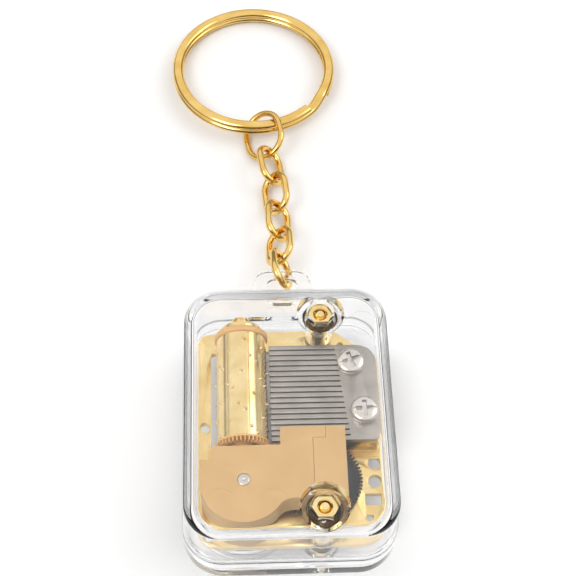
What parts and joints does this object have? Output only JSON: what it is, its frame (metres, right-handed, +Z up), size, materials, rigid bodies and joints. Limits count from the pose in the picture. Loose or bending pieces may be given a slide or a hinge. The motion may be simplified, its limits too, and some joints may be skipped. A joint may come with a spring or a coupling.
{
  "type": "cylinder music box",
  "caption": "Clear keychain case holding a small pinned-cylinder and comb movement with a gear train and winding key, on a short chain with a split ring.",
  "frame": {"origin": "centre of the case's flat underside", "axes": "+X to the right, +Y from the case towards the key ring, +Z up out of the case's face"},
  "size_m": [0.038, 0.1201, 0.018],
  "materials": {
    "clear_plastic": "crystal clear, polished",
    "gold_plate": "bright polished gold plating",
    "plated_brass": "light gold plating, satin to bright",
    "nickel": "nickel plated, bright",
    "spring_steel": "ground grey steel",
    "tan_plastic": "moulded tan plastic, faint sheen",
    "orange_plastic": "moulded orange-tan plastic",
    "black_plastic": "moulded black plastic"
  },
  "bodies": {
    "case": {"case_cover": "clear_plastic", "case_base": "clear_plastic", "case_screw_front": "gold_plate", "case_screw_rear": "gold_plate", "case_nut_front": "gold_plate", "case_nut_rear": "gold_plate", "bedplate": "plated_brass", "comb": "spring_steel", "comb_screw_upper": "nickel", "comb_screw_lower": "nickel", "cylinder_bearing": "plated_brass", "gear_cover": "tan_plastic", "governor_cover": "tan_plastic", "brake_drum": "plated_brass", "contrate_pin": "nickel", "mainspring": "spring_steel"},
    "great_gear": {"great_gear": "black_plastic", "clutch_spring": "spring_steel"},
    "winding_key": {"winding_arbor": "nickel", "winding_key": "gold_plate"},
    "cylinder": {"cylinder_drum": "plated_brass", "cylinder_cap": "orange_plastic", "cylinder_gear": "orange_plastic", "cylinder_shaft": "nickel"},
    "contrate_wheel": {"contrate_wheel": "black_plastic"},
    "governor": {"governor_spindle": "nickel", "governor_weight_left": "plated_brass", "governor_weight_right": "plated_brass"},
    "link_1": {"chain_link_1": "gold_plate"},
    "link_2": {"chain_link_2": "gold_plate"},
    "link_3": {"chain_link_3": "gold_plate"},
    "link_4": {"chain_link_4": "gold_plate"},
    "link_5": {"chain_link_5": "gold_plate"},
    "jump_ring": {"jump_ring": "gold_plate"},
    "key_ring": {"key_ring": "gold_plate"}
  },
  "joints": [
    {"name": "great_gear_spin", "type": "hinge", "parent": "case", "child": "great_gear", "pos_m": [-0.00745, -0.01135, 0.0076], "axis": [0, 0, 1], "continuous": true},
    {"name": "key_winding", "type": "hinge", "parent": "great_gear", "child": "winding_key", "pos_m": [-0.00745, -0.01135, 0.003], "axis": [0, 0, 1], "range_deg": [0, 1800]},
    {"name": "cylinder_spin", "type": "hinge", "parent": "case", "child": "cylinder", "pos_m": [-0.00745, 0.005, 0.0114], "axis": [0, 1, 0], "continuous": true},
    {"name": "contrate_wheel_spin", "type": "hinge", "parent": "case", "child": "contrate_wheel", "pos_m": [0.00526, -0.00911, 0.0076], "axis": [0, 0, 1], "continuous": true},
    {"name": "governor_spin", "type": "hinge", "parent": "case", "child": "governor", "pos_m": [0.00526, -0.009, 0.0095], "axis": [0, 1, 0], "continuous": true},
    {"name": "link_1_hinge", "type": "hinge", "parent": "case", "child": "link_1", "pos_m": [0, 0.03045, 0.007], "axis": [1, 0, 0], "range_deg": [-40, 25]},
    {"name": "link_2_hinge", "type": "hinge", "parent": "link_1", "child": "link_2", "pos_m": [-0.00009, 0.03583, 0.00483], "axis": [0.5056, -0.3156, -0.803], "range_deg": [-40, 40]},
    {"name": "link_3_hinge", "type": "hinge", "parent": "link_2", "child": "link_3", "pos_m": [-0.00009, 0.04204, 0.0033], "axis": [0.7071, 0.1687, 0.6867], "range_deg": [-40, 40]},
    {"name": "link_4_hinge", "type": "hinge", "parent": "link_3", "child": "link_4", "pos_m": [-0.0002, 0.04843, 0.00285], "axis": [0.7079, -0.037, -0.7054], "range_deg": [-40, 40]},
    {"name": "link_5_hinge", "type": "hinge", "parent": "link_4", "child": "link_5", "pos_m": [-0.00076, 0.0548, 0.00285], "axis": [0.7044, 0.0616, 0.7071], "range_deg": [-40, 40]},
    {"name": "jump_ring_hinge", "type": "hinge", "parent": "link_5", "child": "jump_ring", "pos_m": [-0.00176, 0.06112, 0.00285], "axis": [0.6984, 0.1106, -0.7071], "range_deg": [-40, 40]},
    {"name": "key_ring_hinge", "type": "hinge", "parent": "jump_ring", "child": "key_ring", "pos_m": [-0.00331, 0.06907, 0.00308], "axis": [0.7973, 0.1383, 0.5876], "range_deg": [-2, 10]}
  ],
  "couplings": [
    {"joint": "great_gear_spin", "follows": "cylinder_spin", "ratio": 0.60606},
    {"joint": "contrate_wheel_spin", "follows": "cylinder_spin", "ratio": -0.59701},
    {"joint": "governor_spin", "follows": "cylinder_spin", "ratio": 1.99}
  ]
}
